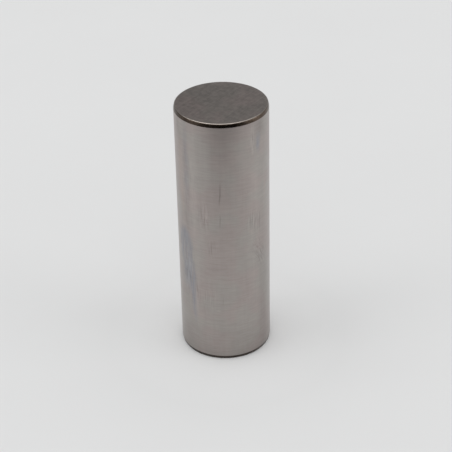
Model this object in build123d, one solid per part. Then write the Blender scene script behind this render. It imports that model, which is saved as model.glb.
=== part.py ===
from build123d import *
from math import radians, tan
import os

# A solid crank pin, in millimetres. It stands on its lower end face, with its axis along +Z
# and the origin at the centre of that face. Both ends have the same form.

pin_diameter = 22.0          # ground to size over the whole length between the lead-ins
pin_length = 65.0            # from end face to end face
lead_in_length = 0.9         # along the axis, from the end face to the ground diameter
lead_in_angle = 12.0         # between the lead-in's slope and the axis, in degrees
end_edge_radius = 0.3        # rounded edge between the lead-in and the end face
shoulder_radius = 1.0        # soft run-out of the lead-in into the ground diameter

pin_radius = pin_diameter / 2
lead_in_depth = lead_in_length * tan(radians(lead_in_angle))
end_face_radius = pin_radius - lead_in_depth

# Half of the pin's lengthwise section, from the axis out to the ground surface, turned about the axis.
with BuildPart() as crank_pin:
    with BuildSketch(Plane.XZ) as half_section:
        with BuildLine():
            Polyline(
                (0, 0),
                (end_face_radius, 0),
                (pin_radius, lead_in_length),
                (pin_radius, pin_length - lead_in_length),
                (end_face_radius, pin_length),
                (0, pin_length),
                close=True,
            )
        make_face()
        corners_by_radius = half_section.vertices().group_by(Axis.X)
        fillet(corners_by_radius[-1], radius=shoulder_radius)
        fillet(corners_by_radius[-2], radius=end_edge_radius)
    revolve(axis=Axis.Z)

os.makedirs("parts", exist_ok=True)
export_step(crank_pin.part, "parts/crank_pin.step")
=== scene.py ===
from math import atan2, cos, degrees, pi, radians, sin, tan

import bmesh
import bpy
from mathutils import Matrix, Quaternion, Vector


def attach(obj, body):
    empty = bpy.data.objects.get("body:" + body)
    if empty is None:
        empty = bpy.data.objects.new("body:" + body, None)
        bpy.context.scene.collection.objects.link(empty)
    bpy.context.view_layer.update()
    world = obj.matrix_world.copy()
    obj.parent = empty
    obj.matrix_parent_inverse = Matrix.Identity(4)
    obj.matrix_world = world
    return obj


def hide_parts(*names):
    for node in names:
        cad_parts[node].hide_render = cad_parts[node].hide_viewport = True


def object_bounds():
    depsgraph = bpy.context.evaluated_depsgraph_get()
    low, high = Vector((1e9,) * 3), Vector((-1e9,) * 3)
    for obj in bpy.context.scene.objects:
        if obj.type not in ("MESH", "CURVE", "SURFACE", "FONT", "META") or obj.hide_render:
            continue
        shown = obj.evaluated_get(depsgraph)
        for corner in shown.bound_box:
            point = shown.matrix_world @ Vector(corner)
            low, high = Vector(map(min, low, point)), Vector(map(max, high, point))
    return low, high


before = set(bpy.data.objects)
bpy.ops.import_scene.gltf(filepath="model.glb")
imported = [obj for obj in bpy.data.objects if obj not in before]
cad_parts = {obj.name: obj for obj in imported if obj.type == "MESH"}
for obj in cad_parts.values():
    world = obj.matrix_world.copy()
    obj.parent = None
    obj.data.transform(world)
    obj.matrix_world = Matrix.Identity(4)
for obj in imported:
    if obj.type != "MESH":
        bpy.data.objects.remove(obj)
cad_low, cad_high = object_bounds()


# The crank pin is one solid length of bearing steel: sawn from bar, turned with a short lead-in
# at each end, hardened right through, ground round to size between the lead-ins and lapped on
# both end faces. It stands on its lower end face with its axis upright.
mm = 0.001
pin_radius = (cad_high.x - cad_low.x) / 2
pin_length = cad_high.z - cad_low.z
lead_in_length = 0.9 * mm
lead_in_angle = radians(12)
end_edge_radius = 0.3 * mm
shoulder_radius = 1.0 * mm
facets_round = 288
faces_flat_below = radians(30)

end_radius = pin_radius - lead_in_length * tan(lead_in_angle)
end_edge_cut = end_edge_radius * tan((pi / 2 - lead_in_angle) / 2)
shoulder_cut = shoulder_radius * tan(lead_in_angle / 2)

bpy.ops.object.select_all(action="DESELECT")
bpy.ops.mesh.primitive_cylinder_add(
    vertices=facets_round,
    radius=pin_radius,
    depth=pin_length - 2 * lead_in_length,
    end_fill_type="NGON",
    location=(0, 0, pin_length / 2),
)
pin = bpy.context.object
pin.name = "pin"
pin.data.name = "pin"
bpy.ops.object.transform_apply(location=True, rotation=True, scale=True)


def pick(kind, wanted):
    """Selects, in edit mode, the faces or edges of the pin for which wanted() is true."""
    shape = bmesh.from_edit_mesh(pin.data)
    bpy.ops.mesh.select_all(action="DESELECT")
    for part in getattr(shape, kind):
        if wanted(part):
            part.select_set(True)
    bmesh.update_edit_mesh(pin.data)


def ring_of(radius):
    """True for an edge that runs round the pin at this radius."""
    return lambda edge: all(abs(v.co.xy.length - radius) < 0.001 * mm for v in edge.verts) and (
        abs(edge.verts[0].co.z - edge.verts[1].co.z) < 0.001 * mm
    )


bpy.ops.object.mode_set(mode="EDIT")
bpy.ops.mesh.select_mode(type="FACE")
for end, way in ((0, -1), (pin_length, 1)):
    pick("faces", lambda face: face.normal.z * way > 0.9)
    outward = (0, 0, way * lead_in_length)
    bpy.ops.mesh.extrude_region_move(TRANSFORM_OT_translate={"value": outward})
    taper = end_radius / pin_radius
    bpy.ops.transform.resize(value=(taper, taper, 1), center_override=(0, 0, end))

bpy.ops.mesh.select_mode(type="EDGE")
pick("edges", ring_of(end_radius))
bpy.ops.mesh.bevel(offset=end_edge_cut, segments=10, profile=0.5, affect="EDGES")
pick("edges", ring_of(pin_radius))
bpy.ops.mesh.bevel(offset=shoulder_cut, segments=4, profile=0.5, affect="EDGES")

# The end faces are closed with a few rings each, so that they shade flat right up to the edge.
bpy.ops.mesh.select_mode(type="FACE")
flat_radius = end_radius - end_edge_cut
rings = (flat_radius - 0.04 * mm, 7 * mm, 3.5 * mm, 1 * mm)
for end, way in ((0, -1), (pin_length, 1)):
    pick("faces", lambda face: face.normal.z * way > 0.99 and len(face.verts) > 4)
    radius = flat_radius
    for ring in rings:
        bpy.ops.mesh.extrude_region_move(TRANSFORM_OT_translate={"value": (0, 0, 0)})
        inward = ring / radius
        bpy.ops.transform.resize(value=(inward, inward, 1), center_override=(0, 0, end))
        radius = ring
bpy.ops.mesh.select_all(action="SELECT")
bpy.ops.mesh.normals_make_consistent(inside=False)
bpy.ops.object.mode_set(mode="OBJECT")
bpy.ops.object.shade_smooth_by_angle(angle=faces_flat_below)
weighting = pin.modifiers.new("weighting", "WEIGHTED_NORMAL")
weighting.mode = "FACE_AREA"
weighting.keep_sharp = True
bpy.ops.object.modifier_apply(modifier=weighting.name)


# The long wall is ground on a centreless grinder: fine lines run round it, a little wavy in tone.
# Handling has left rubs and hair scratches along it, and there is a faint blue tint down one side.
def steel(name):
    """Puts a new metal on the pin and returns its node tree, which becomes the tree in hand."""
    material = bpy.data.materials.new(name)
    material.use_nodes = True
    material.node_tree.nodes["Principled BSDF"].inputs["Metallic"].default_value = 1.0
    pin.data.materials.append(material)
    return material.node_tree


def put(kind, inputs, **settings):
    """Adds a node to the tree in hand; inputs are values or other nodes' outputs."""
    node = tree.nodes.new("ShaderNode" + kind)
    for name, value in settings.items():
        setattr(node, name, value)
    for socket, value in inputs.items():
        if isinstance(value, bpy.types.NodeSocket):
            tree.links.new(value, node.inputs[socket])
        else:
            node.inputs[socket].default_value = value
    return node


def own_axes():
    return put("TexCoord", {}).outputs["Object"]


def own_place():
    """How far out a point lies along the pin's own X, Y and Z, in metres."""
    return put("SeparateXYZ", {0: own_axes()}).outputs


def maths(operation, *values):
    return put("Math", dict(enumerate(values)), operation=operation).outputs[0]


def times(first, second):
    return maths("MULTIPLY", first, second)


def total(first, *others):
    for other in others:
        first = maths("ADD", first, other)
    return first


def between(value, low, high, to_low=0, to_high=1):
    """Carries the range low to high over to the range to_low to to_high, and holds it there."""
    return put("MapRange", {"Value": value, "From Min": low, "From Max": high,
                            "To Min": to_low, "To Max": to_high}).outputs[0]


def stretched_noise(scale, detail=3, roughness=0.5, offset=(0, 0, 0)):
    """Noise in the pin's own axes, with a scale of so many per millimetre along each axis."""
    place = put("Mapping", {"Vector": own_axes(), "Scale": [s / mm for s in scale],
                            "Location": offset}).outputs[0]
    return put("TexNoise", {"Vector": place, "Scale": 1, "Detail": detail,
                            "Roughness": roughness}).outputs["Fac"]


def soft_spot(where, location, scale, lean=0):
    """1 in the middle, falling to 0 at the scale's distance all round."""
    place = put("Mapping", {"Vector": where, "Location": location, "Scale": scale,
                            "Rotation": (0, 0, radians(lean))}, vector_type="TEXTURE").outputs[0]
    return put("TexGradient", {0: place}, gradient_type="SPHERICAL").outputs["Fac"]


def blend(share, first, second, blend_type="MIX"):
    return put("Mix", {0: share, 6: first, 7: second}, data_type="RGBA",
               blend_type=blend_type).outputs[2]


def shaded(colour, shade):
    """The colour made lighter or darker, where a shade of 1 leaves it alone."""
    grey = put("CombineColor", {0: shade, 1: shade, 2: shade}).outputs[0]
    return blend(1.0, colour, grey, "MULTIPLY")


def finish(colour, roughness, height=None, strength=0.0, depth=0.0):
    """Joins the tree in hand to its shader, with relief of this depth where a height is given."""
    shader = tree.nodes["Principled BSDF"]
    tree.links.new(colour, shader.inputs["Base Color"])
    tree.links.new(roughness, shader.inputs["Roughness"])
    if height is not None:
        relief = put("Bump", {"Strength": strength, "Distance": depth, "Height": height})
        tree.links.new(relief.outputs[0], shader.inputs["Normal"])


tree = steel("ground_steel")
ground_colour = (0.380, 0.352, 0.332, 1)
warm_colour = (0.390, 0.345, 0.328, 1)
blue_colour = (0.318, 0.314, 0.334, 1)
straw_colour = (0.415, 0.350, 0.318, 1)

lines_fine = stretched_noise((0.12, 0.12, 7.0), detail=2)
lines_broad = stretched_noise((0.42, 0.42, 2.5), detail=2, offset=(3, 1, 0))
streaks = stretched_noise((1.5, 1.5, 0.12), detail=3, offset=(7, 2, 0))
patches = stretched_noise((0.14, 0.14, 0.14), detail=2, offset=(0, 5, 2))
clouds = stretched_noise((0.25, 0.25, 0.2), detail=3, offset=(9, 0, 4))

# The wall laid out flat, in millimetres: across is how far round from the front, up is how high.
# A slow wander keeps the marks on it from being quite straight.
place = own_place()
angle = maths("ARCTAN2", place["X"], times(place["Y"], -1))
across = times(angle, pin_radius / mm)
up = times(place["Z"], 1 / mm)
wander = maths("SUBTRACT", stretched_noise((0.7, 0.7, 0.2), detail=2), 0.5)
flat_wall = put("CombineXYZ", {0: total(across, wander), 1: up}).outputs[0]


def marks(*list_of_marks):
    """Soft spots on the wall, added up, each (across, up, wide, long, lean in degrees, depth)."""
    depths = [
        times(soft_spot(flat_wall, (across_mm, up_mm, 0), (wide / 2, long / 2, 1), lean), depth)
        for across_mm, up_mm, wide, long, lean, depth in list_of_marks
    ]
    return total(*depths)


def hairs(lean, fineness, long):
    """Thin streaks up the wall at this lean, with this many to the millimetre."""
    place = put("Mapping", {"Vector": flat_wall, "Rotation": (0, 0, radians(lean))}).outputs[0]
    place = put("Mapping", {"Vector": place, "Scale": (fineness, 1 / long, 1)}).outputs[0]
    return put("TexNoise", {"Vector": place, "Scale": 1, "Detail": 2}).outputs["Fac"]


# Single dark rubs along the pin.
rubs = marks(
    (-0.95, 46.8, 0.60, 7.5, -3, 1.7),
    (-1.0, 39.8, 0.45, 4.5, 0, 1.3),
    (-0.5, 17.2, 0.35, 3.5, 0, 0.6),
    (-3.3, 32.0, 0.40, 4.5, 4, 0.6),
    (-4.3, 42.0, 0.35, 4.0, -2, 0.5),
    (-5.2, 40.5, 0.40, 5.0, 2, 0.6),
    (-7.4, 20.5, 0.50, 9.0, 6, 0.7),
    (6.8, 38.6, 0.40, 5.0, 0, 0.5),
    (9.0, 27.3, 0.50, 3.5, 30, 0.7),
    (9.4, 37.6, 0.70, 7.0, 0, 0.9),
)
# Groups of hair scratches, upright ones and one slanting group.
upright_groups = marks(
    (-3.0, 32.0, 3.0, 7.0, 5, 1.2),
    (-4.7, 40.5, 4.0, 10.0, 0, 1.5),
    (-5.0, 18.5, 7.0, 13.0, 0, 0.6),
    (-9.5, 47.0, 7.0, 30.0, 0, 0.7),
    (-10.5, 25.0, 7.0, 26.0, 6, 1.6),
    (7.4, 60.0, 2.6, 12.0, 0, 1.6),
    (7.6, 38.5, 5.0, 9.0, 0, 1.4),
)
slanting_group = marks((9.6, 29.0, 5.5, 11.0, 20, 1.8))
# Broad soft tones, darker where the depth is negative, and one small bright nick.
tones = marks(
    (-4.5, 40.0, 4.0, 50.0, 0, 0.03),
    (-6.8, 28.0, 4.0, 50.0, 0, 0.06),
    (-7.5, 16.0, 1.4, 9.0, 4, 0.09),
    (-7.6, 50.0, 3.0, 36.0, 0, 0.10),
    (-9.6, 27.0, 1.6, 12.0, 6, 0.09),
    (-9.8, 55.0, 2.4, 30.0, 0, -0.07),
    (-9.9, 38.0, 2.0, 8.0, 5, -0.12),
    (-10.4, 20.5, 2.4, 7.0, 6, 0.12),
    (-11.8, 60.0, 2.4, 9.0, 0, -0.10),
    (-12.0, 34.0, 4.0, 9.0, 0, -0.08),
    (-12.8, 62.0, 2.4, 8.0, 0, -0.18),
    (7.3, 59.5, 0.8, 9.0, 0, 0.13),
    (7.4, 30.0, 5.0, 60.0, 0, 0.05),
    (8.2, 48.0, 5.0, 24.0, 0, 0.07),
    (9.8, 62.5, 4.6, 7.0, 0, -0.16),
    (10.2, 26.0, 5.0, 16.0, 15, -0.04),
    (10.6, 9.0, 4.6, 34.0, 0, -0.11),
    (-1.7, 14.4, 1.6, 0.6, 0, 0.14),
)
# Where the steel shows a faint blue tint, in thin streaks, and where heat has turned it straw.
blue_tint_marks = marks(
    (-10.9, 30.6, 6.0, 11.5, 0, 2.4),
    (-9.7, 24.5, 5.0, 15.0, 8, 1.8),
    (-10.6, 21.0, 5.0, 11.0, 0, 0.4),
    (-8.3, 16.0, 2.0, 15.0, 3, 1.1),
    (-9.5, 53.0, 2.4, 26.0, 0, 0.55),
    (9.2, 58.6, 1.9, 7.0, 0, 1.1),
)
blue_tint_marks = times(maths("MINIMUM", blue_tint_marks, 0.8), between(hairs(4, 2.4, 5), 0.35, 0.62, 0.4, 1.35))
straw = marks(
    (-12.0, 51.0, 2.6, 34.0, 0, 0.6),
    (-11.2, 43.0, 0.9, 13.0, 0, 0.8),
    (11.6, 46.0, 0.7, 16.0, 0, 0.5),
)

colour = blend(between(patches, 0.44, 0.58), ground_colour, warm_colour)
colour = blend(maths("MINIMUM", straw, 1.0), colour, straw_colour)
colour = blend(maths("MINIMUM", blue_tint_marks, 1.0), colour, blue_colour)
# The lower 10 mm of the wall is painted darker, a painted reflection of the pin's shadow on the
# floor;
# the top 6 mm is a little darker too.
colour = shaded(colour, total(
    1.0,
    between(lines_broad, 0.35, 0.65, -0.028, 0.028),
    between(lines_fine, 0.3, 0.7, -0.04, 0.04),
    between(streaks, 0.35, 0.65, -0.014, 0.014),
    between(clouds, 0.3, 0.7, -0.02, 0.02),
    times(upright_groups, between(hairs(0, 3.4, 4), 0.35, 0.65, -0.14, 0.10)),
    times(slanting_group, between(hairs(-24, 2.6, 3), 0.35, 0.65, -0.14, 0.06)),
    tones,
    times(rubs, -0.20),
    # Painted shade: the floor's shadow reflected low on the wall.
    between(up, 0, 10, -0.15, 0),
    between(up, 59, 65, 0, -0.03),
))
roughness = total(between(patches, 0.3, 0.7, 0.31, 0.36), times(rubs, 0.05))
finish(colour, roughness, lines_fine, strength=0.25, depth=0.004 * mm)


# The lead-ins keep the dark skin of the hardening furnace, because the grinding wheel passes above
# them. It is browner at the upper end than at the lower one. Towards the right side its colour is
# painted paler, a painted highlight where that side catches more light.
# Turning marks still run round under it.
tree = steel("hardening_scale")
turning = stretched_noise((0.05, 0.05, 9.0), detail=2)
skin = stretched_noise((0.6, 0.6, 1.2), detail=4, roughness=0.6)
place = own_place()
to_painted_highlight_side = times(place["X"], 1 / pin_radius)
to_upper_end = times(place["Z"], 1 / pin_length)
colour = blend(to_upper_end, (0.061, 0.051, 0.044, 1), (0.066, 0.049, 0.038, 1))
colour = shaded(colour, between(skin, 0.35, 0.65, 0.8, 1.2))
# Painted highlight: the colour grows paler towards the right side.
colour = shaded(colour, between(to_painted_highlight_side, 0.45, 0.75, 1.0, 1.6))
finish(colour, between(skin, 0.3, 0.7, 0.22, 0.34), turning, strength=0.3, depth=0.006 * mm)


# The end faces are lapped dull on a flat plate, which leaves fine scratches that cross. Their
# colour is painted darker than bare steel, a painted shade for the dim surroundings they reflect.
# One side of the upper face is a little darker.
tree = steel("lapped_steel")


def scratches(turned, fineness):
    """Long straight lines across an end face, with this many to the millimetre."""
    place = put("Mapping", {"Vector": own_axes(), "Rotation": (0, 0, radians(turned))}).outputs[0]
    stretch = (fineness / mm, 0.06 / mm, 0.06 / mm)
    place = put("Mapping", {"Vector": place, "Scale": stretch}).outputs[0]
    return put("TexNoise", {"Vector": place, "Scale": 1, "Detail": 3}).outputs["Fac"]


one_way, other_way = scratches(35, 3.0), scratches(-50, 2.2)
mottle = stretched_noise((1.1, 1.1, 1.1), detail=4, roughness=0.7, offset=(2, 7, 0))
dull = stretched_noise((0.13, 0.13, 0.13), detail=2, offset=(4, 1, 0))
darker_side = soft_spot(own_axes(), (-8.5 * mm, 0, pin_length), (8 * mm, 11 * mm, 8 * mm))
# Painted shade: both end-face colours are set darker than bare steel.
colour = blend(between(dull, 0.45, 0.6), (0.150, 0.1335, 0.1225, 1), (0.157, 0.1325, 0.1235, 1))
colour = shaded(colour, total(
    between(dull, 0.35, 0.65, 0.94, 1.04),
    between(one_way, 0.38, 0.62, -0.07, 0.07),
    between(other_way, 0.38, 0.62, -0.04, 0.04),
    between(mottle, 0.38, 0.62, -0.16, 0.16),
    times(darker_side, -0.16),
))
finish(colour, between(mottle, 0.3, 0.7, 0.39, 0.46), one_way, strength=0.2, depth=0.004 * mm)


# The sharp rim between the lapping and the skin is broken with a stone. Its colour is painted pale
# along the front and dark round the back: the rim is bare steel, and the pale front is a painted
# highlight where it catches the light.
tree = steel("stoned_edge")
worn = stretched_noise((0.8, 0.8, 0.8), detail=3)
place = own_place()
# Painted highlight: the rim's colour runs from dark at the back to pale at the front.
to_front_highlight = total(times(place["Y"], -1 / pin_radius), between(worn, 0.3, 0.7, -0.08, 0.08))
painted_highlight_colour = blend(between(worn, 0.3, 0.7), (0.54, 0.485, 0.440, 1), (0.64, 0.575, 0.520, 1))
colour = blend(between(to_front_highlight, 0.46, 0.90), (0.17, 0.150, 0.138, 1), painted_highlight_colour)
finish(colour, between(worn, 0.3, 0.7, 0.22, 0.30))

# Each face takes its finish by how far it leans from upright, in degrees.
steepest_of_wall, steepest_of_lead_in, steepest_of_edge = 5, 48, 88
for face in pin.data.polygons:
    lean = degrees(atan2(abs(face.normal.z), face.normal.xy.length))
    if lean < steepest_of_wall:
        face.material_index = 0
    elif lean < steepest_of_lead_in:
        face.material_index = 1
    elif lean < steepest_of_edge:
        face.material_index = 3
    else:
        face.material_index = 2

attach(pin, "root")
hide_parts("crank_pin")


# The floor is a sheet of pale matt paper with nothing else on it. It is a little paler close to
# the pin, which softens the shadow there. Well away from the pin it goes over into the colour of
# the backdrop, so that no horizon shows.
backdrop_colour = (0.737, 0.739, 0.740, 1)
fade_starts, fade_ends = 0.35, 1.2
bpy.ops.mesh.primitive_plane_add(size=6, location=(0, 0, 0))
floor = bpy.context.object
floor.name = "floor"
paper = bpy.data.materials.new("floor_paper")
paper.use_nodes = True
floor.data.materials.append(paper)
tree = paper.node_tree
matt = tree.nodes["Principled BSDF"]
matt.inputs["Roughness"].default_value = 0.9
fibres = stretched_noise((0.02, 0.02, 0.02), detail=4)
colour = blend(between(fibres, 0.3, 0.7), (0.757, 0.760, 0.760, 1), (0.767, 0.770, 0.770, 1))
away = put("VectorMath", {0: own_axes()}, operation="LENGTH").outputs["Value"]
colour = shaded(colour, between(away, pin_radius, 2.7 * pin_radius, 1.08, 1.0))
tree.links.new(colour, matt.inputs["Base Color"])

path = put("LightPath", {}).outputs
seen = maths("MAXIMUM", path["Is Camera Ray"], path["Is Glossy Ray"])
seen = maths("MAXIMUM", seen, path["Is Transmission Ray"])
far = put("MapRange", {"Value": away, "From Min": fade_starts, "From Max": fade_ends},
          interpolation_type="SMOOTHSTEP").outputs[0]
pale = put("Emission", {"Color": backdrop_colour, "Strength": 1.0}).outputs[0]
mixed = put("MixShader", {0: times(seen, far), 1: matt.outputs[0], 2: pale}).outputs[0]
tree.links.new(mixed, tree.nodes["Material Output"].inputs["Surface"])


# Two dark cards stand out of sight for the steel to reflect, one lying on the floor in front and
# one upright behind it. They take no light from the floor and cast no shadow.
black = bpy.data.materials.new("dark_card")
black.use_nodes = True
matt = black.node_tree.nodes["Principled BSDF"]
matt.inputs["Base Color"].default_value = (0.02, 0.02, 0.02, 1)
matt.inputs["Roughness"].default_value = 0.9
for name, place, tilt, size in (
    ("card_lying", (0, -0.35, 0.0005), 0, (0.8, 0.42)),
    ("card_standing", (0, -0.56, 0.125), 90, (1.4, 0.25)),
):
    bpy.ops.mesh.primitive_plane_add(size=1, location=place, rotation=(radians(tilt), 0, 0))
    card = bpy.context.object
    card.name = name
    card.scale = (*size, 1)
    card.data.materials.append(black)
    card.visible_camera = False
    card.visible_diffuse = False
    card.visible_shadow = False


# Softboxes light the pin. Each stands at a turn from the front and a height above the floor, and
# is so wide and so tall as seen from the pin, from its middle to its edge, all in degrees.
def softbox(name, turn, height, wide, tall, radiance, away=3.0):
    turn, height = radians(turn), radians(height)
    place = away * Vector((sin(turn) * cos(height), -cos(turn) * cos(height), sin(height)))
    bpy.ops.object.light_add(type="AREA", location=place)
    lamp = bpy.context.object
    lamp.name = name
    lamp.data.shape = "RECTANGLE"
    lamp.data.size = 2 * away * tan(radians(wide))
    lamp.data.size_y = 2 * away * tan(radians(tall))
    lamp.data.energy = radiance * pi * lamp.data.size * lamp.data.size_y
    lamp.rotation_euler = place.to_track_quat("Z", "Y").to_euler()
    lamp.visible_camera = False


softbox("overhead", 0, 90, 24, 24, 0.35)
softbox("front_top", 0, 45, 25, 8, 0.45)
softbox("left_top", -90, 60, 14, 14, 0.90)
softbox("right_side", 74, 15, 18, 6, 5.0)
softbox("left_side", -69, 14, 16, 5, 4.8)

# All round is one even backdrop, which also lights the pin.
world = bpy.data.worlds.new("studio")
bpy.context.scene.world = world
world.use_nodes = True
backdrop = world.node_tree.nodes["Background"]
backdrop.inputs["Color"].default_value = backdrop_colour
backdrop.inputs["Strength"].default_value = 1.0

# The camera looks down on the pin from the front with a long lens, tipped a little to one side.
tipped = radians(-1.275)
camera_data = bpy.data.cameras.new("camera")
camera = bpy.data.objects.new("camera", camera_data)
bpy.context.scene.collection.objects.link(camera)
bpy.context.scene.camera = camera
camera_data.sensor_width = 36
camera_data.lens = 111.6
camera.location = (0, -0.2868, 0.2100)
aim = Vector((0.0005, 0, 0.0317))
look = (camera.location - aim).to_track_quat("Z", "Y")
camera.rotation_mode = "QUATERNION"
camera.rotation_quaternion = look @ Quaternion((0, 0, 1), tipped)
camera_data.clip_start = 0.01
camera_data.clip_end = 10

bpy.context.scene.view_settings.view_transform = "Standard"
